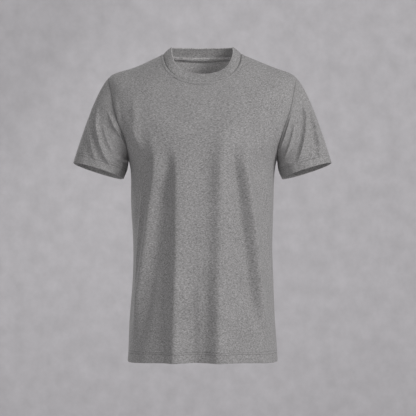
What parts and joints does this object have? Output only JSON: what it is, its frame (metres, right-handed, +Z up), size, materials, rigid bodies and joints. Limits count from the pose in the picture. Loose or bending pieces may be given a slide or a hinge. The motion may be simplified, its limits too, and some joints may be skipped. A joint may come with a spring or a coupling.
{
  "type": "crew neck t-shirt",
  "caption": "Short-sleeved crew neck T-shirt in grey melange jersey, filled out as if worn and empty inside, with a ribbed neckband and a back neck tape.",
  "frame": {"origin": "midway between the two neck points of the shoulder seams, where the shirt bears on its wearer's shoulders", "axes": "+Z up, -Y out of the chest, +X towards the wearer's left arm"},
  "size_m": [0.58, 0.2637, 0.7036],
  "materials": {
    "jersey": "grey melange single jersey, matt, fine stockinette face",
    "rib": "grey melange 1x1 rib, matt",
    "tape": "grey melange jersey tape, matt"
  },
  "bodies": {
    "root": {"front": "jersey", "back": "jersey", "sleeve_left": "jersey", "sleeve_right": "jersey", "neckband": "rib", "neck_tape": "tape"}
  },
  "joints": []
}
